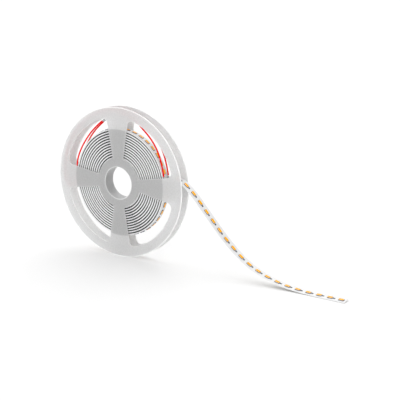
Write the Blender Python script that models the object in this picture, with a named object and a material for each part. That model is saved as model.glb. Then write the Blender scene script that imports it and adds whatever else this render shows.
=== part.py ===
"""A reel of LED strip light: a frosted plastic reel in two halves, the wound strip,
its loose tail with lamps and resistors, and the two supply leads.

The reel stands on its two rims with its axis along Y. The front flange faces -Y and the
tail runs out along +X and lies on the ground. The origin is on the ground under the
middle of the reel. Lengths are in metres.
"""
import math

import bmesh
import bpy
from mathutils import Matrix, Vector

# Reel
REEL_DIAMETER = 0.175
REEL_WIDTH = 0.0146
FLANGE_THICKNESS = 0.0013
EDGE_CHAMFER = 0.00035
BORE_DIAMETER = 0.0372
SLEEVE_WALL = 0.0016
BARREL_RADIUS = 0.0284
BARREL_WALL = 0.0016
COLLAR_WALL = 0.0016
COLLAR_DEPTH = 0.0045
REEL_SEGMENTS = 56

# Windows and spokes of both flanges
WINDOW_COUNT = 4
WINDOW_INNER_RADIUS = 0.029
WINDOW_OUTER_RADIUS = 0.0761
SPOKE_HALF_WIDTH_AT_HUB = 0.0074
SPOKE_HALF_WIDTH_AT_RIM = 0.0153
WINDOW_OUTER_FILLET = 0.006
WINDOW_INNER_FILLET = 0.0025

# Wound strip
STRIP_WIDTH = 0.010
STRIP_THICKNESS = 0.0005
WINDING_RADIUS = 0.0622
WINDING_BANDS = 12
BAND_WIDTH = 0.0014
BAND_GROOVE_DEPTH = 0.0007
LAMPS_PER_TURN = 40
BARE_LAMP_PLACE = 1

# Lamps and resistors on the strip
LAMP_LENGTH = 0.0056
LAMP_WIDTH = 0.003
LAMP_HEIGHT = 0.0009
LAMP_PITCH = 0.0125
LAMP_COUNT = 20
LAST_LAMP_FROM_END = 0.0056
RESISTOR_LENGTH = 0.002
RESISTOR_WIDTH = 0.00125
RESISTOR_HEIGHT = 0.0005
RESISTOR_AFTER_LAMP = 0.0046

# Supply leads
LEAD_DIAMETER = 0.0018
LEAD_OFFSET = 0.0045
REAR_LEAD_SHORTER = 0.0030
TIP_DIAMETER = 0.001
TIP_LENGTH = 0.005
JOINT_LENGTH = 0.0022
JOINT_HEIGHT = 0.0011

# Gaps between pieces
FIT_GAP = 0.0003
SOLDER_GAP = 0.0002

# Smoothness
SHARP_EDGE = math.radians(30)
WINDOW_RIM_STEPS = 5
WINDOW_FILLET_STEPS = 5
WINDOW_HUB_STEPS = 3
ROUTE_STEPS = 16
LEAD_ROUND_STEPS = 2

# Middle of the loose tail's thickness, from the winding to its bare end: distance beyond
# the winding's side, place along the reel's axis, and height as a share of the axis's
TAIL_ROUTE = [
    (-0.00015, 0.0000, 1.120), (0.00005, 0.0000, 1.103), (0.00050, 0.0000, 1.083),
    (0.00180, 0.0000, 1.069), (0.00370, 0.0000, 1.066), (0.00570, 0.0000, 1.080),
    (0.00800, 0.0000, 1.109), (0.01100, 0.0000, 1.134), (0.01460, 0.0000, 1.145),
    (0.01840, -0.0001, 1.138), (0.02160, -0.0001, 1.125), (0.02440, -0.0001, 1.104),
    (0.03360, -0.0001, 1.019), (0.04210, -0.0003, 0.925), (0.04920, -0.0005, 0.835),
    (0.05690, -0.0007, 0.741), (0.06560, -0.0009, 0.634), (0.07540, -0.0012, 0.517),
    (0.08500, -0.0015, 0.414), (0.09480, -0.0017, 0.319), (0.10510, -0.0020, 0.235),
    (0.11560, -0.0023, 0.169), (0.12810, -0.0026, 0.111), (0.14000, -0.0030, 0.072),
    (0.15160, -0.0033, 0.043), (0.16530, -0.0036, 0.0245), (0.17830, -0.0039, 0.0145),
    (0.19180, -0.0043, 0.0112), (0.20430, -0.0046, 0.0108), (0.22420, -0.0050, 0.0108),
]

# How far the tail is rolled about its own length, its rear edge up: distance beyond the
# winding's side, and degrees
TAIL_ROLL = [(0.0008, 0), (0.0360, 15), (0.0850, 15), (0.1500, 8)]

# Middle of both leads, from the solder joint to the stripped end: degrees about the
# reel's axis from +X, the share of the way from the winding out to the rim, and the share
# of LEAD_OFFSET that they lie apart from the reel's middle
LEAD_ROUTE = [
    (13.2, 0.005, 1), (18, 0.023, 1), (23, 0.061, 1), (30, 0.135, 1), (36, 0.209, 1),
    (43, 0.284, 1), (50.5, 0.358, 1), (57, 0.416, 1), (64, 0.505, 1), (71, 0.655, 1),
    (79, 0.765, 1), (88, 0.855, 0.85), (98, 0.93, 0.6), (110, 0.97, 0.4), (123, 0.99, 0.3),
    (137, 1.0, 0.3), (151, 1.0, 0.3), (165, 1.0, 0.3), (176, 0.99, 0.35),
    (183.5, 0.94, 0.5), (188, 0.76, 0.7), (189.7, 0.54, 0.85), (188.6, 0.31, 0.95),
    (185, 0.11, 1), (180, 0.023, 1), (174.5, 0.014, 1), (169, 0.023, 1), (161, 0.051, 1),
    (154, 0.07, 0.94), (147, 0.088, 0.86), (141, 0.116, 0.77), (135, 0.154, 0.7),
    (129.5, 0.2, 0.65), (124, 0.256, 0.63), (118.5, 0.321, 0.62), (113.5, 0.395, 0.62),
    (109.8, 0.451, 0.62),
]
LEAD_BELOW_RIM = 0.0025

# Spacing of the points that draw the tail and the leads
TAIL_STEP = 0.008
LEAD_STEP = 0.0145
SHARPEST_TURN = math.radians(14)

AXIS_HEIGHT = REEL_DIAMETER / 2
HALF_WIDTH = REEL_WIDTH / 2
FLANGE_INNER_FACE = HALF_WIDTH - FLANGE_THICKNESS
BORE_RADIUS = BORE_DIAMETER / 2
LAMP_ANGLE = math.tau / LAMPS_PER_TURN
WINDING_REACH = WINDING_RADIUS / math.cos(LAMP_ANGLE / 2)


def clear_scene():
    for thing in list(bpy.data.objects):
        bpy.data.objects.remove(thing, do_unlink=True)


def make_material(name, colour, roughness, metallic=0.0, alpha=1.0):
    material = bpy.data.materials.new(name)
    material.use_nodes = True
    shader = material.node_tree.nodes["Principled BSDF"]
    shader.inputs["Base Color"].default_value = (*colour, 1.0)
    shader.inputs["Roughness"].default_value = roughness
    shader.inputs["Metallic"].default_value = metallic
    shader.inputs["Alpha"].default_value = alpha
    return material


def add_object(name, data, material, smooth=True):
    thing = bpy.data.objects.new(name, data)
    bpy.context.scene.collection.objects.link(thing)
    thing.data.materials.append(material)
    if smooth and thing.type == "MESH":
        data.shade_smooth()
        data.set_sharp_from_angle(angle=SHARP_EDGE)
    return thing


def finished_mesh(shape, name):
    bmesh.ops.recalc_face_normals(shape, faces=shape.faces)
    mesh = bpy.data.meshes.new(name)
    shape.to_mesh(mesh)
    shape.free()
    return mesh


def turned(profile, segments):
    """A solid turned about Y. A flat of the outline lies at the bottom."""
    shape = bmesh.new()
    start = math.pi / segments
    stretch = 1 / math.cos(start)
    ring = []
    for radius, y in profile:
        reach = radius * stretch
        ring.append(shape.verts.new((reach * math.cos(start), y, reach * math.sin(start))))
    edges = [shape.edges.new((ring[i], ring[i - 1])) for i in range(len(ring))]
    bmesh.ops.spin(shape, geom=ring + edges, cent=(0, 0, 0), axis=(0, 1, 0), dvec=(0, 0, 0),
                   angle=math.tau, steps=segments, use_merge=True, use_duplicate=False)
    return shape


def arc(centre, radius, start, end, steps):
    return [Vector((centre[0] + radius * math.cos(start + (end - start) * i / steps),
                    centre[1] + radius * math.sin(start + (end - start) * i / steps)))
            for i in range(steps + 1)]


def window_outline():
    """One window between two spokes, counter-clockwise in X and Z about the reel's axis."""
    slope = ((SPOKE_HALF_WIDTH_AT_RIM - SPOKE_HALF_WIDTH_AT_HUB)
             / (WINDOW_OUTER_RADIUS - WINDOW_INNER_RADIUS))
    flare = math.atan(slope)
    offset = (SPOKE_HALF_WIDTH_AT_HUB - slope * WINDOW_INNER_RADIUS) * math.cos(flare)
    inner_reach = WINDOW_INNER_RADIUS + WINDOW_INNER_FILLET
    outer_reach = WINDOW_OUTER_RADIUS - WINDOW_OUTER_FILLET
    inner_turn = flare + math.asin((WINDOW_INNER_FILLET + offset) / inner_reach)
    outer_turn = flare + math.asin((WINDOW_OUTER_FILLET + offset) / outer_reach)
    inner_centre = (inner_reach * math.cos(inner_turn), inner_reach * math.sin(inner_turn))
    outer_centre = (outer_reach * math.cos(outer_turn), outer_reach * math.sin(outer_turn))
    middle = math.pi / 4
    half = arc((0, 0), WINDOW_INNER_RADIUS, middle, inner_turn, WINDOW_HUB_STEPS)
    half += arc(inner_centre, WINDOW_INNER_FILLET, inner_turn + math.pi,
                flare + 1.5 * math.pi, WINDOW_HUB_STEPS)[1:]
    half += arc(outer_centre, WINDOW_OUTER_FILLET, flare - math.pi / 2, outer_turn,
                WINDOW_FILLET_STEPS)
    half += arc((0, 0), WINDOW_OUTER_RADIUS, outer_turn, middle, WINDOW_RIM_STEPS)[1:]
    mirrored = [Vector((point.y, point.x)) for point in reversed(half[1:-1])]
    return half + mirrored


def window_cutter(name, low_y, high_y, material):
    """The four windows of one flange as one cutter."""
    shape = bmesh.new()
    for number in range(WINDOW_COUNT):
        turn = Matrix.Rotation(math.tau * number / WINDOW_COUNT, 2)
        corners = []
        for point in window_outline():
            place = turn @ point
            corners.append(shape.verts.new((place.x, low_y, place.y)))
        face = shape.faces.new(corners)
        grown = bmesh.ops.extrude_face_region(shape, geom=[face])
        moved = [part for part in grown["geom"] if isinstance(part, bmesh.types.BMVert)]
        bmesh.ops.translate(shape, verts=moved, vec=(0, high_y - low_y, 0))
    cutter = add_object(name, finished_mesh(shape, name), material, smooth=False)
    cutter.location.z = AXIS_HEIGHT
    cutter.hide_render = True
    cutter.display_type = "WIRE"
    return cutter


def add_boolean(thing, tool, operation):
    modifier = thing.modifiers.new(tool.name, "BOOLEAN")
    modifier.operation = operation
    modifier.solver = "EXACT"
    modifier.object = tool


def add_front_half(material):
    """Front flange, bore sleeve and winding barrel, moulded as one piece."""
    inner = -FLANGE_INNER_FACE
    rim = REEL_DIAMETER / 2
    sleeve = BORE_RADIUS + SLEEVE_WALL
    barrel_end = FLANGE_INNER_FACE - FIT_GAP
    profile = [
        (BORE_RADIUS + EDGE_CHAMFER, -HALF_WIDTH), (rim - EDGE_CHAMFER, -HALF_WIDTH),
        (rim, EDGE_CHAMFER - HALF_WIDTH), (rim, inner - EDGE_CHAMFER),
        (rim - EDGE_CHAMFER, inner), (BARREL_RADIUS, inner),
        (BARREL_RADIUS, barrel_end), (BARREL_RADIUS - BARREL_WALL, barrel_end),
        (BARREL_RADIUS - BARREL_WALL, inner), (sleeve, inner), (sleeve, HALF_WIDTH),
        (BORE_RADIUS + EDGE_CHAMFER, HALF_WIDTH), (BORE_RADIUS, HALF_WIDTH - EDGE_CHAMFER),
        (BORE_RADIUS, EDGE_CHAMFER - HALF_WIDTH),
    ]
    mesh = finished_mesh(turned(profile, REEL_SEGMENTS), "reel_front_half")
    half = add_object("reel_front_half", mesh, material)
    half.location.z = AXIS_HEIGHT
    cutter = window_cutter("front_windows", -REEL_WIDTH, inner + FLANGE_THICKNESS, material)
    add_boolean(half, cutter, "DIFFERENCE")


def add_rear_flange(material):
    """Rear flange, with the collar that presses into the barrel."""
    inner = FLANGE_INNER_FACE
    rim = REEL_DIAMETER / 2
    hole = BORE_RADIUS + SLEEVE_WALL + FIT_GAP
    collar = BARREL_RADIUS - BARREL_WALL - FIT_GAP
    profile = [
        (hole, HALF_WIDTH), (rim - EDGE_CHAMFER, HALF_WIDTH), (rim, HALF_WIDTH - EDGE_CHAMFER),
        (rim, inner + EDGE_CHAMFER), (rim - EDGE_CHAMFER, inner), (collar, inner),
        (collar, inner - COLLAR_DEPTH), (collar - COLLAR_WALL, inner - COLLAR_DEPTH),
        (collar - COLLAR_WALL, inner), (hole, inner),
    ]
    mesh = finished_mesh(turned(profile, REEL_SEGMENTS), "reel_rear_flange")
    flange = add_object("reel_rear_flange", mesh, material)
    flange.location.z = AXIS_HEIGHT
    cutter = window_cutter("rear_windows", inner - FLANGE_THICKNESS, REEL_WIDTH, material)
    add_boolean(flange, cutter, "DIFFERENCE")


def box_at(shape, size, place):
    return bmesh.ops.create_cube(shape, size=1.0,
                                 matrix=place @ Matrix.Diagonal((*size, 1.0)))["verts"]


def winding_lamps(material):
    """The lamps on the outermost turn, as one tool that is joined to the winding."""
    shape = bmesh.new()
    sunk = STRIP_THICKNESS
    for number in range(LAMPS_PER_TURN):
        if number == BARE_LAMP_PLACE:
            continue
        turn = Matrix.Rotation(-number * LAMP_ANGLE, 4, "Y")
        out = Matrix.Translation((WINDING_RADIUS + (LAMP_HEIGHT - sunk) / 2, 0, 0))
        box_at(shape, (LAMP_HEIGHT + sunk, LAMP_WIDTH, LAMP_LENGTH), turn @ out)
    tool = add_object("winding_lamps", finished_mesh(shape, "winding_lamps"), material, False)
    tool.location.z = AXIS_HEIGHT
    tool.hide_render = True
    tool.display_type = "WIRE"
    return tool


def add_winding(material):
    """The wound strip as one ring. Each band on its sides stands for a few turns."""
    inner = BARREL_RADIUS + FIT_GAP
    band_pitch = (WINDING_RADIUS - BAND_WIDTH - inner) / (WINDING_BANDS - 1)
    edge = STRIP_WIDTH / 2
    groove = edge - BAND_GROOVE_DEPTH
    side = []
    for number in range(WINDING_BANDS):
        low = inner + number * band_pitch
        side += [(low, edge), (low + BAND_WIDTH, edge)]
        if number < WINDING_BANDS - 1:
            side.append((low + (BAND_WIDTH + band_pitch) / 2, groove))
    profile = side + [(radius, -y) for radius, y in reversed(side)]
    mesh = finished_mesh(turned(profile, LAMPS_PER_TURN), "strip_winding")
    winding = add_object("strip_winding", mesh, material)
    winding.location.z = AXIS_HEIGHT
    add_boolean(winding, winding_lamps(material), "UNION")


def smooth_route(points):
    """A dense smooth line through the given points."""
    ends = [2 * points[0] - points[1]] + points + [2 * points[-1] - points[-2]]
    line = []
    for number in range(1, len(ends) - 2):
        before, start, end, after = ends[number - 1:number + 3]
        knots = [0.0]
        for first, second in ((before, start), (start, end), (end, after)):
            knots.append(knots[-1] + math.sqrt((second - first).length))
        for step in range(ROUTE_STEPS):
            at = knots[1] + (knots[2] - knots[1]) * step / ROUTE_STEPS
            one = before.lerp(start, (at - knots[0]) / (knots[1] - knots[0]))
            two = start.lerp(end, (at - knots[1]) / (knots[2] - knots[1]))
            three = end.lerp(after, (at - knots[2]) / (knots[3] - knots[2]))
            near = one.lerp(two, (at - knots[0]) / (knots[2] - knots[0]))
            far = two.lerp(three, (at - knots[1]) / (knots[3] - knots[1]))
            line.append(near.lerp(far, (at - knots[1]) / (knots[2] - knots[1])))
    return line + [points[-1]]


def thinned(line, longest):
    """The line's points that its bends need, at most `longest` apart."""
    kept = [0]
    for number in range(1, len(line) - 1):
        last = line[kept[-1]]
        start = line[kept[-1] + 1] - last
        here = line[number + 1] - line[number]
        if (line[number] - last).length > longest or start.angle(here) > SHARPEST_TURN:
            kept.append(number)
    if (line[-1] - line[kept[-1]]).length < longest / 4:
        kept.pop()
    return [line[number] for number in kept] + [line[-1]]


def tail_roll(place):
    """The tail's roll at a place on it, in radians."""
    beyond = place.x - WINDING_RADIUS
    if beyond <= TAIL_ROLL[0][0]:
        return math.radians(TAIL_ROLL[0][1])
    for (start, low), (end, high) in zip(TAIL_ROLL, TAIL_ROLL[1:]):
        if beyond <= end:
            return math.radians(low + (high - low) * (beyond - start) / (end - start))
    return math.radians(TAIL_ROLL[-1][1])


def tail_line():
    """Middle of the tail, at least so high that its lower edge lies on the ground."""
    line = []
    for point in smooth_route([Vector((WINDING_RADIUS + beyond, y, share * AXIS_HEIGHT))
                               for beyond, y, share in TAIL_ROUTE]):
        roll = tail_roll(point)
        lowest = (STRIP_THICKNESS * math.cos(roll) + STRIP_WIDTH * math.sin(roll)) / 2
        line.append(Vector((point.x, point.y, max(point.z, lowest))))
    return line


def tail_frame(place, step):
    """Place on the tail: X along it towards its end, Y across it and Z out of its face."""
    along = Vector((step.x, 0, step.z)).normalized()
    across = Vector((0, 1, 0))
    turn = Matrix((along, across, along.cross(across))).transposed()
    turn = turn @ Matrix.Rotation(tail_roll(place), 3, "X")
    return Matrix.Translation(place) @ turn.to_4x4()


def frame_on(line, distance_from_end):
    left = distance_from_end
    for number in range(len(line) - 1, 0, -1):
        step = line[number] - line[number - 1]
        if left <= step.length:
            return tail_frame(line[number] - step.normalized() * left, step)
        left -= step.length
    raise ValueError("the strip is too short for its lamps")


def add_tail(material):
    """The loose strip, a flat ribbon drawn out along its route."""
    line = thinned(tail_line(), TAIL_STEP)
    side, face = STRIP_WIDTH / 2, STRIP_THICKNESS / 2
    rows = []
    for number, point in enumerate(line):
        step = line[min(number + 1, len(line) - 1)] - line[max(number - 1, 0)]
        frame = tail_frame(point, step)
        rows.append([frame @ Vector((0, y, z))
                     for y, z in ((-side, -face), (side, -face), (side, face), (-side, face))])
    shape = bmesh.new()
    end = shape.faces.new([shape.verts.new(corner) for corner in rows[0]])
    for last, row in zip(rows, rows[1:]):
        start = end
        grown = bmesh.ops.extrude_face_region(shape, geom=[start])
        if last is not rows[0]:
            bmesh.ops.delete(shape, geom=[start], context="FACES_ONLY")
        end = next(part for part in grown["geom"] if isinstance(part, bmesh.types.BMFace))
        corners = [min(end.verts, key=lambda vert: (vert.co - corner).length)
                   for corner in last]
        for vert, corner in zip(corners, row):
            vert.co = corner
    add_object("strip_tail", finished_mesh(shape, "strip_tail"), material)


def add_tail_parts(lamp_material, resistor_material):
    """Lamps on the tail's outer face, and a resistor after each but the last."""
    line = tail_line()
    face = STRIP_THICKNESS / 2 + SOLDER_GAP
    for number in range(LAMP_COUNT):
        distance = LAST_LAMP_FROM_END + LAMP_PITCH * (LAMP_COUNT - 1 - number)
        shape = bmesh.new()
        box_at(shape, (LAMP_LENGTH, LAMP_WIDTH, LAMP_HEIGHT),
               frame_on(line, distance) @ Matrix.Translation((0, 0, face + LAMP_HEIGHT / 2)))
        name = f"tail_lamp_{number + 1:02d}"
        add_object(name, finished_mesh(shape, name), lamp_material, False)
        if number == LAMP_COUNT - 1:
            continue
        shape = bmesh.new()
        box_at(shape, (RESISTOR_LENGTH, RESISTOR_WIDTH, RESISTOR_HEIGHT),
               frame_on(line, distance - RESISTOR_AFTER_LAMP)
               @ Matrix.Translation((0, 0, face + RESISTOR_HEIGHT / 2)))
        name = f"tail_resistor_{number + 1:02d}"
        add_object(name, finished_mesh(shape, name), resistor_material, False)


def lead_point(degrees, share, y):
    """Place by degrees, share of the way out to the rim, and y."""
    turn = math.radians(degrees)
    lowest = WINDING_REACH + FIT_GAP + LEAD_DIAMETER / 2
    highest = REEL_DIAMETER / 2 - LEAD_BELOW_RIM
    radius = lowest + share * (highest - lowest)
    return Vector((radius * math.cos(turn), y, AXIS_HEIGHT + radius * math.sin(turn)))


def shortened(line, length):
    """The line without its last `length`."""
    left = length
    kept = list(line)
    while (kept[-1] - kept[-2]).length <= left:
        left -= (kept[-1] - kept[-2]).length
        kept.pop()
    kept[-1] = kept[-1] + (kept[-2] - kept[-1]).normalized() * left
    return kept


def add_tube(name, line, diameter, material):
    curve = bpy.data.curves.new(name, "CURVE")
    curve.dimensions = "3D"
    curve.bevel_depth = diameter / 2
    curve.bevel_resolution = LEAD_ROUND_STEPS
    curve.use_fill_caps = True
    spline = curve.splines.new("POLY")
    spline.points.add(len(line) - 1)
    for point, place in zip(spline.points, line):
        point.co = (*place, 1.0)
    add_object(name, curve, material)


def add_leads(lead_material, tinned_material):
    """Each lead, its solder joint on the strip and its stripped and tinned end."""
    for side, y in (("front", -LEAD_OFFSET), ("rear", LEAD_OFFSET)):
        line = smooth_route([lead_point(degrees, share, y * apart)
                             for degrees, share, apart in LEAD_ROUTE])
        if side == "rear":
            line = shortened(line, REAR_LEAD_SHORTER)
        add_tube(f"lead_{side}", thinned(line, LEAD_STEP), LEAD_DIAMETER, lead_material)
        ahead = (line[-1] - line[-2]).normalized()
        tip_start = line[-1] + ahead * FIT_GAP
        add_tube(f"lead_tip_{side}", [tip_start, tip_start + ahead * TIP_LENGTH], TIP_DIAMETER,
                 tinned_material)
        back = (line[0] - line[1]).normalized()
        centre = line[0] + back * (FIT_GAP + JOINT_LENGTH / 2)
        out = Vector((centre.x, 0, centre.z - AXIS_HEIGHT)).normalized()
        reach = WINDING_REACH + SOLDER_GAP + JOINT_HEIGHT / 2
        centre = Vector((0, y, AXIS_HEIGHT)) + out * reach
        shape = bmesh.new()
        turn = Matrix((out.cross(Vector((0, 1, 0))), Vector((0, 1, 0)), out)).transposed()
        squash = Matrix.Diagonal((JOINT_LENGTH, LEAD_DIAMETER, JOINT_HEIGHT, 1.0))
        bmesh.ops.create_icosphere(shape, subdivisions=1, radius=0.5,
                                   matrix=Matrix.Translation(centre) @ turn.to_4x4() @ squash)
        name = f"solder_joint_{side}"
        add_object(name, finished_mesh(shape, name), tinned_material)


def main():
    clear_scene()
    plastic = make_material("frosted_plastic", (0.84, 0.85, 0.86), 0.4, alpha=0.75)
    strip = make_material("white_strip", (0.85, 0.85, 0.85), 0.45)
    lamp = make_material("lamp_phosphor", (0.95, 0.52, 0.05), 0.4)
    resistor = make_material("resistor_black", (0.03, 0.03, 0.035), 0.5)
    insulation = make_material("red_insulation", (0.75, 0.01, 0.01), 0.35)
    tinned = make_material("tinned_copper", (0.72, 0.72, 0.70), 0.3, metallic=1.0)
    add_front_half(plastic)
    add_rear_flange(plastic)
    add_winding(strip)
    add_tail(strip)
    add_tail_parts(lamp, resistor)
    add_leads(insulation, tinned)


main()
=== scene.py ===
import math

import bmesh
import bpy
from mathutils import Matrix, Vector


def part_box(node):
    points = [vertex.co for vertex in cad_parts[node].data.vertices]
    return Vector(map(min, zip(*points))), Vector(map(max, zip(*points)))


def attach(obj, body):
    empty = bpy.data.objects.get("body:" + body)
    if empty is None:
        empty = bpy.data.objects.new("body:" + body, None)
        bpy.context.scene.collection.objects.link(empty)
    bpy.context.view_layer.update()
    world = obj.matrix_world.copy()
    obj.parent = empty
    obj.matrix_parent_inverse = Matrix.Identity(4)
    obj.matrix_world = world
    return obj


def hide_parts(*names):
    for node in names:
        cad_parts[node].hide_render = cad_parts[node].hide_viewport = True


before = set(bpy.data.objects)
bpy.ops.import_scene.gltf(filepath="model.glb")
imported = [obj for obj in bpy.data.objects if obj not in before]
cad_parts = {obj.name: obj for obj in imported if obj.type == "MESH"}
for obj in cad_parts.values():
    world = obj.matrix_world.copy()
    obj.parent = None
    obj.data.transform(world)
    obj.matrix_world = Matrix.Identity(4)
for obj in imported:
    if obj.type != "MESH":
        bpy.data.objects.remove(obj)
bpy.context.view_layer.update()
scene = bpy.context.scene
scene.view_settings.view_transform = "Standard"
print("frame loaded,", len(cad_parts), "nodes")

# The reel's own sizes come from the frame. Its axis runs along Y.
reelLow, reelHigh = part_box("reel_front_half")
reelRadius = reelHigh.x
halfWidth = reelHigh.y
axisHeight = (reelLow.z + reelHigh.z) / 2

strip = {
    "width": 0.010,
    "thickness": 0.0004,
    "windingRadius": 0.0622,
    "coreRadius": 0.0287,
    "tailAngle": math.radians(9.6),  # the tail starts here, on the outermost turn
    "tailRadius": 0.06293,
}


# The camera stands where the photograph was taken from
view = {
    "turn": math.radians(32.68),
    "down": math.radians(14.55),
    "distance": 12.21,  # in reel radii from the middle of the front face, as the next two
    "aside": 1.074,
    "below": 0.223,
    "lens": 83.7,
}


def placeCamera():
    turn, down = view["turn"], view["down"]
    ahead = Vector((-math.sin(turn) * math.cos(down), math.cos(turn) * math.cos(down),
                    -math.sin(down)))
    right = Vector((math.cos(turn), math.sin(turn), 0))
    up = right.cross(ahead)
    camera = bpy.data.objects.new("camera", bpy.data.cameras.new("camera"))
    camera.data.lens = view["lens"]
    camera.location = (Vector((0, -halfWidth, axisHeight))
                       + reelRadius * (view["aside"] * right - view["below"] * up
                                       - view["distance"] * ahead))
    camera.rotation_euler = ahead.to_track_quat("-Z", "Y").to_euler()
    scene.collection.objects.link(camera)
    scene.camera = camera


placeCamera()
print("camera placed")


# Meshes
def linkMesh(shape, name):
    mesh = bpy.data.meshes.new(name)
    shape.to_mesh(mesh)
    shape.free()
    piece = bpy.data.objects.new(name, mesh)
    scene.collection.objects.link(piece)
    return piece


def finishPiece(piece, finish, nodes=(), sharp=None):
    piece.data.materials.append(finish)
    if sharp is not None:
        piece.data.shade_smooth()
        piece.data.set_sharp_from_angle(angle=math.radians(sharp))
    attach(piece, "root")
    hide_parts(*nodes)
    return piece


# A dense smooth line through the given points
def smoothLine(points, steps=16):
    ends = [2 * points[0] - points[1]] + points + [2 * points[-1] - points[-2]]
    line = []
    for number in range(1, len(ends) - 2):
        before, start, end, after = ends[number - 1:number + 3]
        knots = [0.0]
        for first, second in ((before, start), (start, end), (end, after)):
            knots.append(knots[-1] + math.sqrt((second - first).length))
        for step in range(steps):
            at = knots[1] + (knots[2] - knots[1]) * step / steps
            one = before.lerp(start, (at - knots[0]) / (knots[1] - knots[0]))
            two = start.lerp(end, (at - knots[1]) / (knots[2] - knots[1]))
            three = end.lerp(after, (at - knots[2]) / (knots[3] - knots[2]))
            near = one.lerp(two, (at - knots[0]) / (knots[2] - knots[0]))
            far = two.lerp(three, (at - knots[1]) / (knots[3] - knots[1]))
            line.append(near.lerp(far, (at - knots[1]) / (knots[2] - knots[1])))
    return line + [points[-1]]


# X along the strip, Y across it and Z out of its lamp side
def stripPlace(place, along):
    forward = Vector((along.x, 0, along.z)).normalized()
    across = Vector((0, 1, 0))
    turn = Matrix((forward, across, forward.cross(across))).transposed()
    return Matrix.Translation(place) @ turn.to_4x4()


# Finishes
noiseRange = (0.3, 0.7)  # nearly all of the noise lies between them


def newFinish(name, **values):
    material = bpy.data.materials.new(name)
    material.use_nodes = True
    tree = material.node_tree
    shader = tree.nodes["Principled BSDF"]
    for socket, value in values.items():
        shader.inputs[socket].default_value = value
    return material, tree, shader


# Fine unevenness of a moulded or lacquered surface
def grainGroup():
    group = bpy.data.node_groups.new("surfaceGrain", "ShaderNodeTree")
    for name, value in (("Scale", 900.0), ("Roughness Low", 0.4), ("Roughness High", 0.6),
                        ("Bump", 0.1), ("Bump Distance", 0.0001)):
        socket = group.interface.new_socket(name, in_out="INPUT", socket_type="NodeSocketFloat")
        socket.default_value = value
    for name, kind in (("Value", "NodeSocketFloat"), ("Roughness", "NodeSocketFloat"),
                       ("Normal", "NodeSocketVector")):
        group.interface.new_socket(name, in_out="OUTPUT", socket_type=kind)
    nodes, links = group.nodes, group.links
    into, out = nodes.new("NodeGroupInput"), nodes.new("NodeGroupOutput")
    place = nodes.new("ShaderNodeTexCoord")
    noise = nodes.new("ShaderNodeTexNoise")
    noise.inputs["Detail"].default_value = 5
    spread = nodes.new("ShaderNodeMapRange")
    bump = nodes.new("ShaderNodeBump")
    links.new(place.outputs["Object"], noise.inputs["Vector"])
    links.new(into.outputs["Scale"], noise.inputs["Scale"])
    links.new(noise.outputs["Fac"], spread.inputs["Value"])
    spread.inputs["From Min"].default_value = noiseRange[0]
    spread.inputs["From Max"].default_value = noiseRange[1]
    links.new(into.outputs["Roughness Low"], spread.inputs["To Min"])
    links.new(into.outputs["Roughness High"], spread.inputs["To Max"])
    links.new(into.outputs["Bump"], bump.inputs["Strength"])
    links.new(into.outputs["Bump Distance"], bump.inputs["Distance"])
    links.new(noise.outputs["Fac"], bump.inputs["Height"])
    links.new(noise.outputs["Fac"], out.inputs["Value"])
    links.new(spread.outputs["Result"], out.inputs["Roughness"])
    links.new(bump.outputs["Normal"], out.inputs["Normal"])
    return group


surfaceGrain = grainGroup()


def addGrain(tree, shader, **values):
    grain = tree.nodes.new("ShaderNodeGroup")
    grain.node_tree = surfaceGrain
    for socket, value in values.items():
        grain.inputs[socket].default_value = value
    tree.links.new(grain.outputs["Roughness"], shader.inputs["Roughness"])
    tree.links.new(grain.outputs["Normal"], shader.inputs["Normal"])
    return grain


# Base colour that runs from low to high with the mask
def tintedBy(tree, mask, shader, low, high):
    spread = tree.nodes.new("ShaderNodeMapRange")
    spread.inputs["From Min"].default_value = noiseRange[0]
    spread.inputs["From Max"].default_value = noiseRange[1]
    tint = tree.nodes.new("ShaderNodeMix")
    tint.data_type = "RGBA"
    tint.inputs["A"].default_value = (*low, 1)
    tint.inputs["B"].default_value = (*high, 1)
    tree.links.new(mask, spread.inputs["Value"])
    tree.links.new(spread.outputs["Result"], tint.inputs["Factor"])
    tree.links.new(tint.outputs["Result"], shader.inputs["Base Color"])
    return tint


def attributeMask(tree, name):
    mask = tree.nodes.new("ShaderNodeAttribute")
    mask.attribute_name = name
    return mask.outputs["Fac"]


# Painted light: a faint glow where the mask is 1
def paintedGlowBy(tree, shader, mask, strength):
    glow = tree.nodes.new("ShaderNodeMix")
    glow.data_type = "RGBA"
    glow.inputs["A"].default_value = (0, 0, 0, 1)
    glow.inputs["B"].default_value = (1, 1, 1, 1)
    tree.links.new(mask, glow.inputs["Factor"])
    tree.links.new(glow.outputs["Result"], shader.inputs["Emission Color"])
    shader.inputs["Emission Strength"].default_value = strength


# Frosted plastic, with painted shade in its colour over the bore's wall and where the winding
# stands behind it, and a painted highlight, a faint glow, on its edges
plastic = {
    "clearness": 0.4,
    "edgeGlow": 0.35,
    "paintedShadeReach": 0.1,
    # distance from the axis as a share of the reach, brightness of the painted shade
    "paintedShade": [(0.187, 0.62), (0.189, 0.80), (0.618, 0.80), (0.628, 1.0)],
}


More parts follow.
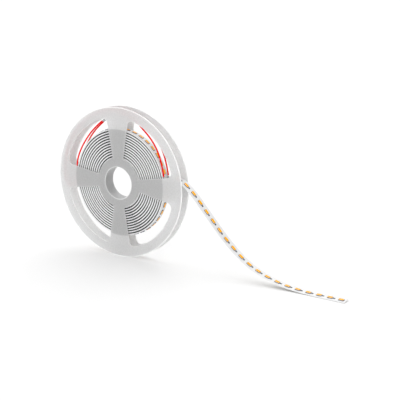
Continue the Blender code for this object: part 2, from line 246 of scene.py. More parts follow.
def frostedPlastic():
    material, tree, shader = newFinish("frostedPlastic", IOR=1.46)
    shader.inputs["Transmission Weight"].default_value = plastic["clearness"]
    grain = addGrain(tree, shader, **{"Scale": 560.0, "Roughness Low": 0.32,
                                      "Roughness High": 0.42, "Bump": 0.02})
    tint = tintedBy(tree, grain.outputs["Value"], shader, (0.84, 0.84, 0.84),
                    (0.95, 0.95, 0.95))
    # Painted shade: a ramp on the distance from the axis darkens the colour, most on the bore's
    # wall, less where the winding stands behind
    place = tree.nodes.new("ShaderNodeTexCoord")
    fromAxis = tree.nodes.new("ShaderNodeVectorMath")
    fromAxis.operation = "MULTIPLY_ADD"
    fromAxis.inputs[1].default_value = (1, 0, 1)
    fromAxis.inputs[2].default_value = (0, 0, -axisHeight)
    distance = tree.nodes.new("ShaderNodeVectorMath")
    distance.operation = "LENGTH"
    behind = tree.nodes.new("ShaderNodeValToRGB")
    stops = behind.color_ramp.elements
    for number, (position, bright) in enumerate(plastic["paintedShade"]):
        stop = stops[number] if number < 2 else stops.new(position)
        stop.position, stop.color = position, (bright, bright, bright, 1)
    share = tree.nodes.new("ShaderNodeMath")
    share.operation = "MULTIPLY"
    share.inputs[1].default_value = 1 / plastic["paintedShadeReach"]
    paintedShading = tree.nodes.new("ShaderNodeMix")
    paintedShading.data_type = "RGBA"
    paintedShading.blend_type = "MULTIPLY"
    paintedShading.inputs["Factor"].default_value = 1
    tree.links.new(place.outputs["Object"], fromAxis.inputs[0])
    tree.links.new(fromAxis.outputs["Vector"], distance.inputs[0])
    tree.links.new(distance.outputs["Value"], share.inputs[0])
    tree.links.new(share.outputs["Value"], behind.inputs["Fac"])
    tree.links.new(tint.outputs["Result"], paintedShading.inputs["A"])
    tree.links.new(behind.outputs["Color"], paintedShading.inputs["B"])
    tree.links.new(paintedShading.outputs["Result"], shader.inputs["Base Color"])
    # Painted highlight on the edges and painted light on the rear plate's faces, as a faint glow
    paintedGlowBy(tree, shader, attributeMask(tree, "edge"), plastic["edgeGlow"])
    return material


# White lacquer, with the bare tape under the tail, and a painted highlight, a faint glow, on the
# cut edges of the wound turns
whiteStrip = {
    "tape": (0.42, 0.40, 0.36),
    "cutEdge": (0.490, 0.498),  # shares of the strip's width from its middle
    "cutEdgePaintedHighlight": 0.15,
}


def whiteLacquer():
    material, tree, shader = newFinish("whiteLacquer")
    grain = addGrain(tree, shader, **{"Scale": 2500.0, "Roughness Low": 0.38,
                                      "Roughness High": 0.5, "Bump": 0.05})
    tint = tintedBy(tree, grain.outputs["Value"], shader, (0.84, 0.84, 0.845),
                    (0.88, 0.88, 0.885))
    taped = tree.nodes.new("ShaderNodeMix")
    taped.data_type = "RGBA"
    taped.inputs["B"].default_value = (*whiteStrip["tape"], 1)
    tree.links.new(attributeMask(tree, "tape"), taped.inputs["Factor"])
    tree.links.new(tint.outputs["Result"], taped.inputs["A"])
    tree.links.new(taped.outputs["Result"], shader.inputs["Base Color"])
    across = attributeMask(tree, "across")  # only the wound turns have it
    size = tree.nodes.new("ShaderNodeMath")
    size.operation = "ABSOLUTE"
    cutEdge = tree.nodes.new("ShaderNodeMapRange")
    cutEdge.inputs["From Min"].default_value = strip["width"] * whiteStrip["cutEdge"][0]
    cutEdge.inputs["From Max"].default_value = strip["width"] * whiteStrip["cutEdge"][1]
    tree.links.new(across, size.inputs[0])
    tree.links.new(size.outputs["Value"], cutEdge.inputs["Value"])
    # Painted highlight on the cut edges of the wound turns
    paintedGlowBy(tree, shader, cutEdge.outputs["Result"], whiteStrip["cutEdgePaintedHighlight"])
    return material


# Painted shade: a near-black finish for the solids that fill the winding's grooves
def paintedGapShade():
    material, tree, shader = newFinish("paintedGapShade")
    grain = addGrain(tree, shader, **{"Scale": 700.0, "Roughness Low": 0.7,
                                      "Roughness High": 0.9, "Bump": 0.3})
    tintedBy(tree, grain.outputs["Value"], shader, (0.004, 0.004, 0.005), (0.015, 0.015, 0.018))
    return material


def lampCase():
    material, tree, shader = newFinish("lampCase")
    grain = addGrain(tree, shader, **{"Scale": 3000.0, "Roughness Low": 0.3,
                                      "Roughness High": 0.4, "Bump": 0.03})
    tintedBy(tree, grain.outputs["Value"], shader, (0.86, 0.87, 0.89), (0.9, 0.9, 0.92))
    return material


def lampPhosphor():
    material, tree, shader = newFinish("lampPhosphor")
    shader.inputs["Specular IOR Level"].default_value = 0.2
    grain = addGrain(tree, shader, **{"Scale": 4000.0, "Roughness Low": 0.35,
                                      "Roughness High": 0.5, "Bump": 0.1})
    tintedBy(tree, grain.outputs["Value"], shader, (0.98, 0.42, 0.0), (1.0, 0.50, 0.004))
    # Painted light: a faint glow brightens the phosphor, though the lamps are not lit
    shader.inputs["Emission Color"].default_value = (1.0, 0.42, 0.0, 1)
    shader.inputs["Emission Strength"].default_value = 0.12
    return material


# Blue-black lamp base; it is made tall, so its dark sides stand in partly for painted shade
# along the lamp
def lampBaseAndShade():
    material, tree, shader = newFinish("lampBaseAndShade")
    addGrain(tree, shader, **{"Scale": 3000.0, "Roughness Low": 0.4, "Roughness High": 0.6})
    shader.inputs["Base Color"].default_value = (0.008, 0.012, 0.05, 1)
    return material


def chipBlack():
    material, tree, shader = newFinish("chipBlack")
    addGrain(tree, shader, **{"Scale": 3000.0, "Roughness Low": 0.25, "Roughness High": 0.4})
    shader.inputs["Base Color"].default_value = (0.025, 0.025, 0.03, 1)
    return material


# What bounces off the red is paler, so it hardly tints the frosted plastic
def redInsulation():
    material, tree, shader = newFinish("redInsulation")
    shader.inputs["Specular IOR Level"].default_value = 0.15
    grain = addGrain(tree, shader, **{"Scale": 1200.0, "Roughness Low": 0.38,
                                      "Roughness High": 0.5, "Bump": 0.05})
    tint = tintedBy(tree, grain.outputs["Value"], shader, (0.92, 0.001, 0.002),
                    (1.0, 0.002, 0.003))
    rays = tree.nodes.new("ShaderNodeLightPath")
    bounced = tree.nodes.new("ShaderNodeMix")
    bounced.data_type = "RGBA"
    bounced.inputs["B"].default_value = (0.42, 0.14, 0.14, 1)
    tree.links.new(rays.outputs["Is Diffuse Ray"], bounced.inputs["Factor"])
    tree.links.new(tint.outputs["Result"], bounced.inputs["A"])
    tree.links.new(bounced.outputs["Result"], shader.inputs["Base Color"])
    return material


def tinnedMetal():
    material, tree, shader = newFinish("tinnedMetal", Metallic=1.0)
    grain = addGrain(tree, shader, **{"Scale": 2500.0, "Roughness Low": 0.2,
                                      "Roughness High": 0.38, "Bump": 0.2})
    tintedBy(tree, grain.outputs["Value"], shader, (0.20, 0.20, 0.205), (0.34, 0.34, 0.345))
    return material


frosted, lacquer, gap = frostedPlastic(), whiteLacquer(), paintedGapShade()
case, phosphor, base, black = lampCase(), lampPhosphor(), lampBaseAndShade(), chipBlack()
red, tinned = redInsulation(), tinnedMetal()
print("finishes made")


# Lamps and resistors, the same on the tail and on the outermost turn
lamp = {
    "length": 0.0056,
    "width": 0.003,
    "height": 0.0009,
    # the dark base is tall, so its sides are partly painted shade along the lamp
    "baseHeight": 0.00065,
    "rim": 0.00008,
    "rimSlope": 0.3,  # as a share of the rim
    "recess": 0.0001,
    "windowSunk": 0.00004,
    "domeInset": 0.0003,
    "domeRise": 0.00003,
    "footLength": 0.0004,
    "footWidth": 0.0022,
    "footHeight": 0.00035,
}
resistor = {
    "length": 0.002,
    "width": 0.00125,
    "height": 0.0005,
    "capLength": 0.0003,
}


# A box of that size, with its middle given in the place's own axes
def block(shape, place, size, middle):
    made = bmesh.ops.create_cube(shape, size=1.0, matrix=place @ Matrix.Translation(middle)
                                 @ Matrix.Diagonal((*size, 1.0)))
    return made["verts"]


def topFace(verts, up):
    faces = {face for vert in verts for face in vert.link_faces}
    return max(faces, key=lambda face: face.normal.dot(up))


def lampCases(shape, place):
    rise = lamp["height"] - lamp["baseHeight"]
    verts = block(shape, place, (lamp["length"], lamp["width"], rise),
                  (0, 0, lamp["baseHeight"] + rise / 2))
    shape.normal_update()
    top = topFace(verts, place.col[2].to_3d())
    bmesh.ops.inset_individual(shape, faces=[top], thickness=lamp["rim"])
    bmesh.ops.inset_individual(shape, faces=[top], thickness=lamp["rim"] * lamp["rimSlope"],
                               depth=-lamp["recess"])


def lampWindows(shape, place):
    inside = lamp["rim"] * (1 + lamp["rimSlope"])
    size = (lamp["length"] - 2 * inside, lamp["width"] - 2 * inside, lamp["recess"])
    middle = lamp["height"] - lamp["windowSunk"] - lamp["recess"] / 2
    verts = block(shape, place, size, (0, 0, middle))
    shape.normal_update()
    top = topFace(verts, place.col[2].to_3d())
    bmesh.ops.inset_individual(shape, faces=[top], thickness=lamp["domeInset"],
                               depth=lamp["domeRise"])


def lampBases(shape, place):
    block(shape, place, (lamp["length"], lamp["width"], lamp["baseHeight"]),
          (0, 0, lamp["baseHeight"] / 2))
    for side in (-1, 1):
        block(shape, place, (lamp["footLength"], lamp["footWidth"], lamp["footHeight"]),
              (side * (lamp["length"] + lamp["footLength"]) / 2, 0, lamp["footHeight"] / 2))


def resistorBodies(shape, place):
    inner = resistor["length"] - 2 * resistor["capLength"]
    block(shape, place, (inner, resistor["width"], resistor["height"]),
          (0, 0, resistor["height"] / 2))


def resistorCaps(shape, place):
    for side in (-1, 1):
        middle = side * (resistor["length"] - resistor["capLength"]) / 2
        block(shape, place, (resistor["capLength"], resistor["width"], resistor["height"]),
              (middle, 0, resistor["height"] / 2))


# One piece for all the parts of a kind
def partsOnStrip(name, maker, places, finish, nodes=()):
    shape = bmesh.new()
    for place in places:
        maker(shape, place)
    return finishPiece(linkMesh(shape, name), finish, nodes)


# Tail: the strip's loose end, a flat cord that lies on the ground
tail = {
    # distance beyond the winding, place along the reel's axis, share of the axis's height
    "route": [
        (-0.00015, 0.0000, 1.120), (0.00005, 0.0000, 1.103), (0.00050, 0.0000, 1.083),
        (0.00180, 0.0000, 1.069), (0.00370, 0.0000, 1.066), (0.00570, 0.0000, 1.080),
        (0.00800, 0.0000, 1.109), (0.01100, 0.0000, 1.134), (0.01460, 0.0000, 1.145),
        (0.01840, -0.0001, 1.138), (0.02160, -0.0001, 1.125), (0.02440, -0.0001, 1.104),
        (0.03360, -0.0001, 1.019), (0.04210, -0.0003, 0.925), (0.04920, -0.0005, 0.835),
        (0.05690, -0.0007, 0.741), (0.06560, -0.0009, 0.634), (0.07540, -0.0012, 0.517),
        (0.08500, -0.0015, 0.414), (0.09480, -0.0017, 0.319), (0.10510, -0.0020, 0.235),
        (0.11560, -0.0023, 0.169), (0.12810, -0.0026, 0.111), (0.14000, -0.0030, 0.072),
        (0.15160, -0.0033, 0.043), (0.16530, -0.0036, 0.0245), (0.17830, -0.0039, 0.0145),
        (0.19180, -0.0043, 0.0112), (0.20430, -0.0046, 0.0108), (0.22420, -0.0050, 0.0108),
    ],
    # distance beyond the winding, degrees that its rear edge is rolled up
    "roll": [(0.0008, 0), (0.0360, 15), (0.0850, 15), (0.1500, 8)],
    "ringGap": 0.0012,
    "tapeThickness": 0.00027,
    "tapeInset": 0.001,
    "lamps": 20,
    "lampGap": 0.0125,
    "lastLampFromEnd": 0.0056,
    "resistorAfterLamp": 0.0046,
}


def tailRoll(place):
    beyond = place.x - strip["windingRadius"]
    stops = tail["roll"]
    if beyond <= stops[0][0]:
        return math.radians(stops[0][1])
    for (start, low), (end, high) in zip(stops, stops[1:]):
        if beyond <= end:
            return math.radians(low + (high - low) * (beyond - start) / (end - start))
    return math.radians(stops[-1][1])


def tailLine():
    line = smoothLine([Vector((strip["windingRadius"] + beyond, y, share * axisHeight))
                       for beyond, y, share in tail["route"]])
    rings = [line[0]]
    for point in line[1:-1]:
        if (point - rings[-1]).length >= tail["ringGap"]:
            rings.append(point)
    return rings + [line[-1]]


def tailPlace(place, step):
    return stripPlace(place, step) @ Matrix.Rotation(tailRoll(place), 4, "X")


def placesOnTail(line):
    places = []
    for number, point in enumerate(line):
        step = line[min(number + 1, len(line) - 1)] - line[max(number - 1, 0)]
        places.append(tailPlace(point, step))
    return places


def placeFromEnd(line, distance):
    left = distance
    for number in range(len(line) - 1, 0, -1):
        step = line[number] - line[number - 1]
        if left <= step.length:
            return tailPlace(line[number] - step.normalized() * left, step)
        left -= step.length
    return tailPlace(line[0], line[1] - line[0])


# A flat strip with a narrower tape under it
def makeTailRibbon(line):
    shape = bmesh.new()
    tapeLayer = shape.verts.layers.float.new("tape")
    top, half = strip["thickness"] / 2, strip["width"] / 2
    under, tapeHalf = tail["tapeThickness"] - top, half - tail["tapeInset"]
    rightSide = [(tapeHalf, -top, 1), (tapeHalf, under, 1), (half, under, 0), (half, top, 0)]
    corners = []
    for across, out, tape in rightSide + [(-across, out, tape)
                                          for across, out, tape in reversed(rightSide)]:
        corner = shape.verts.new((0, across, out))
        corner[tapeLayer] = tape
        corners.append(corner)
    places = placesOnTail(line)
    end = shape.faces.new(corners)
    bmesh.ops.transform(shape, matrix=places[0], verts=corners)
    for number in range(1, len(places)):
        grown = bmesh.ops.extrude_face_region(shape, geom=[end])["geom"]
        if number > 1:
            bmesh.ops.delete(shape, geom=[end], context="FACES_ONLY")
        verts = [part for part in grown if isinstance(part, bmesh.types.BMVert)]
        end = next(part for part in grown if isinstance(part, bmesh.types.BMFace))
        move = places[number] @ places[number - 1].inverted()
        bmesh.ops.transform(shape, matrix=move, verts=verts)
    bmesh.ops.recalc_face_normals(shape, faces=shape.faces)
    return linkMesh(shape, "tailRibbon")


tailPath = tailLine()
tailRibbon = makeTailRibbon(tailPath)
finishPiece(tailRibbon, lacquer, ["strip_tail"], sharp=30)
face = Matrix.Translation((0, 0, strip["thickness"] / 2))
lampDistances = [tail["lastLampFromEnd"] + tail["lampGap"] * number
                 for number in reversed(range(tail["lamps"]))]
tailLampPlaces = [placeFromEnd(tailPath, distance) @ face for distance in lampDistances]
tailResistorPlaces = [placeFromEnd(tailPath, distance - tail["resistorAfterLamp"]) @ face
                      for distance in lampDistances[:-1]]
lampNodes = [f"tail_lamp_{number + 1:02d}" for number in range(tail["lamps"])]
resistorNodes = [f"tail_resistor_{number + 1:02d}" for number in range(tail["lamps"] - 1)]
tailPieces = [
    partsOnStrip("tailLampCases", lampCases, tailLampPlaces, case, lampNodes),
    partsOnStrip("tailLampWindows", lampWindows, tailLampPlaces, phosphor),
    partsOnStrip("tailLampBases", lampBases, tailLampPlaces, base),
    partsOnStrip("tailResistorBodies", resistorBodies, tailResistorPlaces, black,
                 resistorNodes),
    partsOnStrip("tailResistorCaps", resistorCaps, tailResistorPlaces, tinned),
]


# Wound strip: one long line of turns in bands, with the lamps of its outermost turn.
# Painted shade: near-black solids fill the grooves between the turns.
winding = {
    "bands": 12,
    "turnsPerBand": 3,
    "turnGap": 0.0001,
    "stepsPerTurn": 144,
    "stepAngle": math.radians(10),  # it moves out to the next turn behind the right spoke
    "rampAngle": math.radians(15),
    "grooveDepth": 0.0007,
    "lampAngle": math.radians(9),
    "bareLampPlace": 1,
    "lampsPerTurn": 40,
    "mergeDistance": 0.000001,
    "turnSlack": 0.000001,  # so that a whole turn counts as the start of the next
}


def turnRadius(number):
    pitch = strip["thickness"] + winding["turnGap"]
    bandWidth = pitch * winding["turnsPerBand"] - winding["turnGap"]
    band, inBand = divmod(number, winding["turnsPerBand"])
    bandPitch = ((strip["windingRadius"] - bandWidth - strip["coreRadius"])
                 / (winding["bands"] - 1))
    return strip["coreRadius"] + band * bandPitch + inBand * pitch + strip["thickness"] / 2


def smoothStep(share):
    share = min(max(share, 0), 1)
    return share * share * (3 - 2 * share)


# Where the strip is after so many turns from the core, about the reel's axis
def woundPlace(run):
    turns = winding["bands"] * winding["turnsPerBand"]
    angle = winding["stepAngle"] - math.tau * run
    number = min(int(run + winding["turnSlack"]), turns - 1)
    moved = smoothStep((run - number) * math.tau / (2 * winding["stepAngle"]))
    radius = turnRadius(number)
    if number:
        radius += (turnRadius(number - 1) - radius) * (1 - moved)
    left = (turns - run) * math.tau + winding["stepAngle"]  # angle past the right spoke's middle
    if left < winding["rampAngle"]:
        share = (winding["rampAngle"] - left) / (winding["rampAngle"] - strip["tailAngle"])
        radius += (strip["tailRadius"] - radius) * share * share
    return Vector((radius * math.cos(angle), radius * math.sin(angle), 0))


def makeWoundStrip():
    turns = winding["bands"] * winding["turnsPerBand"]
    lastRun = turns + (winding["stepAngle"] - strip["tailAngle"]) / math.tau
    steps = turns * winding["stepsPerTurn"]
    runs = [number / winding["stepsPerTurn"] for number in range(steps + 1)] + [lastRun]
    curve = bpy.data.curves.new("woundStrip", "CURVE")
    curve.dimensions = "2D"
    curve.fill_mode = "NONE"
    curve.extrude = strip["width"] / 2
    spline = curve.splines.new("POLY")
    spline.points.add(len(runs) - 1)
    for point, run in zip(spline.points, runs):
        point.co = (*woundPlace(run), 1)
    guide = bpy.data.objects.new("woundStripGuide", curve)
    scene.collection.objects.link(guide)
    shown = guide.evaluated_get(bpy.context.evaluated_depsgraph_get())
    shape = bmesh.new()
    shape.from_mesh(shown.to_mesh())
    bpy.data.objects.remove(guide)
    bmesh.ops.remove_doubles(shape, verts=shape.verts, dist=winding["mergeDistance"])
    bmesh.ops.transform(shape, verts=shape.verts, matrix=Matrix.Translation((0, 0, axisHeight))
                        @ Matrix.Rotation(math.pi / 2, 4, "X"))
    piece = linkMesh(shape, "woundStrip")
    across = piece.data.attributes.new("across", "FLOAT", "POINT")
    across.data.foreach_set("value", [vert.co.y for vert in piece.data.vertices])
    wall = piece.modifiers.new("wall", "SOLIDIFY")
    wall.thickness = strip["thickness"]
    wall.offset = 0
    return finishPiece(piece, lacquer, ["strip_winding"], sharp=40)


# A ring turned about the reel's axis from its outline: radius and place along Y
def makeSpun(name, profile, steps, finish):
    shape = bmesh.new()
    ring = [shape.verts.new((radius, y, 0)) for radius, y in profile]
    edges = [shape.edges.new((ring[number], ring[number - 1])) for number in range(len(ring))]
    bmesh.ops.spin(shape, geom=ring + edges, cent=(0, 0, 0), axis=(0, 1, 0), dvec=(0, 0, 0),
                   angle=math.tau, steps=steps, use_merge=True, use_duplicate=False)
    bmesh.ops.recalc_face_normals(shape, faces=shape.faces)
    bmesh.ops.translate(shape, verts=shape.verts, vec=(0, 0, axisHeight))
    return finishPiece(linkMesh(shape, name), finish, sharp=35)


def makeWinding():
    makeWoundStrip()
    recess = strip["width"] / 2 - winding["grooveDepth"]
    core, rim = strip["coreRadius"], strip["windingRadius"] - strip["thickness"]
    # The groove fill carries painted shade
    makeSpun("windingGapShade", [(core, -recess), (rim, -recess), (rim, recess), (core, recess)],
             winding["stepsPerTurn"], gap)
    places = []
    turns = winding["bands"] * winding["turnsPerBand"]
    for number in range(winding["lampsPerTurn"]):
        if number == winding["bareLampPlace"]:
            continue
        fromStep = (winding["stepAngle"] - number * winding["lampAngle"]) % math.tau
        point = woundPlace(turns - 1 + fromStep / math.tau)
        out = point.normalized()
        middle = point + out * strip["thickness"] / 2
        place = Vector((middle.x, 0, axisHeight + middle.y))
        places.append(stripPlace(place, Vector((out.y, 0, -out.x))))
    partsOnStrip("windingLampCases", lampCases, places, case)
    partsOnStrip("windingLampWindows", lampWindows, places, phosphor)
    partsOnStrip("windingLampBases", lampBases, places, base)


makeWinding()
print("winding made")


# Reel: two pressed flanges with four windows each, and a hub between them
reel = {
    "plate": 0.0013,
    "rounding": 0.0003,
    "bendTurns": (0, 30, 60, 90),  # degrees round a rounding, one ring at each
    "chamfer": 0.0001,
    "boreRadius": 0.0186,
    "wall": 0.0016,
    "barrelRadius": 0.0284,
    "fitGap": 0.0003,
    "collarDepth": 0.0045,
    "rimSteps": 288,
    "mergeDistance": 0.00001,
    # how faces and corners are picked out by their distance from the axis and the middle
    "withinHub": 1.005,  # share of the barrel's radius
    "beyondRim": 0.99,  # share of the reel's radius
    "boreReach": 1.1,  # shares of the rounding
    "boreDepth": 0.99,
    "paintedHighlightBand": 0.0003,  # how far the painted highlights on the edges reach in past their rounding
    "boreHighlightBand": 0.0009,
    # shares of the painted light, a faint glow: highlights on the rims, windows and bore, a lift
    # on the flat faces
    "frontRimPaintedHighlight": 1,
    "frontFacePaintedLight": 0,
    "rearRimPaintedHighlight": 0.3,
    "rearFacePaintedLight": 0.06,
    "windowPaintedHighlight": 0.3,
    "borePaintedHighlight": 1,
}
window = {
    "innerRadius": 0.0290,
    "outerRadius": 0.0761,
    "spokeAtHub": 0.0074,   # half widths
    "spokeAtRim": 0.0153,
    "outerFillet": 0.0060,
    "innerFillet": 0.0025,
    # points of its outline
    "hubSteps": 14,
    "innerFilletSteps": 8,
    "outerFilletSteps": 12,
    "rimSteps": 22,
}


def arcPoints(centre, radius, start, end, steps):
    return [Vector((centre[0] + radius * math.cos(start + (end - start) * number / steps),
                    centre[1] + radius * math.sin(start + (end - start) * number / steps)))
            for number in range(steps + 1)]


# One window's outline, counter-clockwise in X and Z about the reel's axis
def windowOutline():
    slope = ((window["spokeAtRim"] - window["spokeAtHub"])
             / (window["outerRadius"] - window["innerRadius"]))
    flare = math.atan(slope)
    offset = (window["spokeAtHub"] - slope * window["innerRadius"]) * math.cos(flare)
    innerReach = window["innerRadius"] + window["innerFillet"]
    outerReach = window["outerRadius"] - window["outerFillet"]
    innerTurn = flare + math.asin((window["innerFillet"] + offset) / innerReach)
    outerTurn = flare + math.asin((window["outerFillet"] + offset) / outerReach)
    innerCentre = (innerReach * math.cos(innerTurn), innerReach * math.sin(innerTurn))
    outerCentre = (outerReach * math.cos(outerTurn), outerReach * math.sin(outerTurn))
    middle = math.pi / 4
    half = arcPoints((0, 0), window["innerRadius"], middle, innerTurn, window["hubSteps"])
    half += arcPoints(innerCentre, window["innerFillet"], innerTurn + math.pi,
                      flare + 1.5 * math.pi, window["innerFilletSteps"])[1:]
    half += arcPoints(outerCentre, window["outerFillet"], flare - math.pi / 2, outerTurn,
                      window["outerFilletSteps"])
    half += arcPoints((0, 0), window["outerRadius"], outerTurn, middle,
                      window["rimSteps"])[1:]
    mirrored = [Vector((point.y, point.x)) for point in reversed(half[1:-1])]
    return half + mirrored


def loopOfEdges(shape, points, y):
    ring = [shape.verts.new((point.x, y, point.y)) for point in points]
    return [shape.edges.new((ring[number], ring[number - 1])) for number in range(len(ring))]


# A flange plate between two levels, with rounded edges and an open joint round the hub
def makePlate(low, high, rimPaintedHighlight, facePaintedLight):
    rounding, hub = reel["rounding"], reel["barrelRadius"]
    shape = bmesh.new()
    edgeLayer = shape.verts.layers.float.new("edge")
    circle = arcPoints((0, 0), 1, 0, math.tau, reel["rimSteps"])[:-1]
    edges = loopOfEdges(shape, [point * reelRadius for point in circle], low + rounding)
    edges += loopOfEdges(shape, [point * hub for point in circle], low + rounding)
    for number in range(4):
        turn = Matrix.Rotation(math.tau * number / 4, 2)
        edges += loopOfEdges(shape, [turn @ point for point in windowOutline()],
                             low + rounding)
    bmesh.ops.triangle_fill(shape, edges=edges, use_beauty=True, normal=(0, -1, 0))
    lowFaces = shape.faces[:]
    grown = bmesh.ops.extrude_face_region(shape, geom=lowFaces)["geom"]
    highFaces = [part for part in grown if isinstance(part, bmesh.types.BMFace)]
    bmesh.ops.translate(shape, vec=(0, high - low - 2 * rounding, 0),
                        verts=[part for part in grown if isinstance(part, bmesh.types.BMVert)])
    nearHub = [item for item in shape.faces
               if all(math.hypot(vert.co.x, vert.co.z) < hub * reel["withinHub"]
                      for vert in item.verts)]
    bmesh.ops.delete(shape, geom=nearHub, context="FACES_ONLY")
    # Painted light: corners at the edges get a highlight share of glow, that of the rim or else
    # that of the windows, fading in to the flat faces' share
    for faces, side in ((lowFaces, -1), (highFaces, 1)):
        for vert in {vert for item in faces for vert in item.verts}:
            atRim = math.hypot(vert.co.x, vert.co.z) > reelRadius * reel["beyondRim"]
            vert[edgeLayer] = rimPaintedHighlight if atRim else reel["windowPaintedHighlight"]
        for start, end in zip(reel["bendTurns"], reel["bendTurns"][1:]):
            turnedIn = [rounding * (1 - math.cos(math.radians(turn))) for turn in (start, end)]
            lifted = [rounding * math.sin(math.radians(turn)) for turn in (start, end)]
            bmesh.ops.inset_region(shape, faces=faces, thickness=turnedIn[1] - turnedIn[0],
                                   use_even_offset=True, use_boundary=False)
            verts = {vert for item in faces for vert in item.verts}
            bmesh.ops.translate(shape, verts=list(verts),
                                vec=(0, side * (lifted[1] - lifted[0]), 0))
        bmesh.ops.inset_region(shape, faces=faces, thickness=reel["paintedHighlightBand"],
                               use_even_offset=True, use_boundary=False)
        for vert in {vert for item in faces for vert in item.verts}:
            vert[edgeLayer] = facePaintedLight
    return shape


# Hub walls, turned from an open outline that starts and ends on the plate's open joint
def addHub(shape, profile):
    line = [shape.verts.new((radius, y, 0)) for radius, y in profile]
    edges = [shape.edges.new((line[number], line[number + 1]))
             for number in range(len(line) - 1)]
    bmesh.ops.spin(shape, geom=line + edges, cent=(0, 0, 0), axis=(0, 1, 0), dvec=(0, 0, 0),
                   angle=math.tau, steps=reel["rimSteps"], use_merge=True,
                   use_duplicate=False)
    bmesh.ops.remove_doubles(shape, verts=shape.verts, dist=reel["mergeDistance"])
    bmesh.ops.recalc_face_normals(shape, faces=shape.faces)
    # Painted highlight round the bore's edges
    edgeLayer = shape.verts.layers.float["edge"]
    reach = reel["boreRadius"] + reel["rounding"] * reel["boreReach"]
    depth = halfWidth - reel["rounding"] * reel["boreDepth"]
    for vert in shape.verts:
        if math.hypot(vert.co.x, vert.co.z) < reach and abs(vert.co.y) > depth:
            vert[edgeLayer] = reel["borePaintedHighlight"]
    bmesh.ops.translate(shape, verts=shape.verts, vec=(0, 0, axisHeight))


def makeReel():
    inner = halfWidth - reel["plate"]
    bore, wall, barrel = reel["boreRadius"], reel["wall"], reel["barrelRadius"]
    rounding, fitGap, chamfer = reel["rounding"], reel["fitGap"], reel["chamfer"]
    bend = [(bore + rounding * (1 - math.sin(math.radians(turn))),
             halfWidth - rounding * (1 - math.cos(math.radians(turn))))
            for turn in reel["bendTurns"]]
    barrelEnd = inner - fitGap
    front = makePlate(-halfWidth, -inner, reel["frontRimPaintedHighlight"], reel["frontFacePaintedLight"])
    addHub(front, [(barrel, -halfWidth), (bend[0][0] + reel["boreHighlightBand"], -halfWidth)]
           + [(radius, -y) for radius, y in bend]
           + list(reversed(bend))
           + [(bore + wall - chamfer, halfWidth), (bore + wall, halfWidth - chamfer),
              (bore + wall, -inner), (barrel - wall, -inner), (barrel - wall, barrelEnd),
              (barrel, barrelEnd), (barrel, -inner)])
    finishPiece(linkMesh(front, "frontHalf"), frosted,
                ["reel_front_half"], sharp=40)
    hole, collar = bore + wall + fitGap, barrel - wall - fitGap
    rear = makePlate(inner, halfWidth, reel["rearRimPaintedHighlight"], reel["rearFacePaintedLight"])
    addHub(rear, [(barrel, inner), (collar, inner), (collar, inner - reel["collarDepth"]),
                  (collar - wall, inner - reel["collarDepth"]), (collar - wall, inner),
                  (hole, inner), (hole, halfWidth - chamfer), (hole + chamfer, halfWidth),
                  (barrel, halfWidth)])
    finishPiece(linkMesh(rear, "rearFlange"), frosted,
                ["reel_rear_flange"], sharp=40)


makeReel()
print("reel made")


# Supply leads: soldered to the strip side by side, led round behind the rim, bare at the end
lead = {
    "diameter": 0.0018,
    "aside": 0.0045,
    "aboveWinding": 0.06359,
    "underRim": 0.0850,
    # degrees round the reel, share of the way out to the rim, share of their distance aside
    "route": [
        (13.2, 0.005, 1), (18, 0.023, 1), (23, 0.061, 1), (30, 0.135, 1), (36, 0.209, 1),
        (43, 0.284, 1), (50.5, 0.358, 1), (57, 0.416, 1), (64, 0.505, 1), (71, 0.655, 1),
        (79, 0.765, 1), (88, 0.855, 0.85), (98, 0.93, 0.6), (110, 0.97, 0.4),
        (123, 0.99, 0.3), (137, 1.0, 0.3), (151, 1.0, 0.3), (165, 1.0, 0.3),
        (176, 0.99, 0.35), (183.5, 0.94, 0.5), (188, 0.76, 0.7), (189.7, 0.54, 0.85),
        (188.6, 0.31, 0.95), (185, 0.11, 1), (180, 0.023, 1), (174.5, 0.014, 1),
        (169, 0.023, 1), (161, 0.051, 1), (154, 0.07, 0.94), (147, 0.088, 0.86),
        (141, 0.116, 0.77), (135, 0.154, 0.7), (129.5, 0.2, 0.65), (124, 0.256, 0.63),
        (118.5, 0.321, 0.62), (113.5, 0.395, 0.62), (109.8, 0.451, 0.62),
    ],
    "rearShorter": 0.0030,
    "roundSteps": 4,
    "tipLength": 0.005,
    "tipSunk": 0.0002,
    "strandDiameter": 0.00034,
    "strandSides": 8,
    "outerStrands": 6,
    "strandSpacing": 0.97,  # as a share of their diameter
    "twistSteps": 12,
    "twistPerStep": math.radians(14),
    "jointLength": 0.0022,
    "jointHeight": 0.0011,
    "jointRadius": 0.06259,
    "jointFineness": 4,
    "gap": 0.0003,
}


def leadPoint(degrees, share, y):
    turn = math.radians(degrees)
    radius = lead["aboveWinding"] + share * (lead["underRim"] - lead["aboveWinding"])
    return Vector((radius * math.cos(turn), y, axisHeight + radius * math.sin(turn)))


def shortened(line, length):
    left = length
    kept = list(line)
    while (kept[-1] - kept[-2]).length <= left:
        left -= (kept[-1] - kept[-2]).length
        kept.pop()
    kept[-1] = kept[-1] + (kept[-2] - kept[-1]).normalized() * left
    return kept


def makeTube(name, line, diameter):
    curve = bpy.data.curves.new(name, "CURVE")
    curve.dimensions = "3D"
    curve.bevel_depth = diameter / 2
    curve.bevel_resolution = lead["roundSteps"]
    curve.use_fill_caps = True
    spline = curve.splines.new("POLY")
    spline.points.add(len(line) - 1)
    for point, place in zip(spline.points, line):
        point.co = (*place, 1)
    tube = bpy.data.objects.new(name, curve)
    scene.collection.objects.link(tube)
    return tube


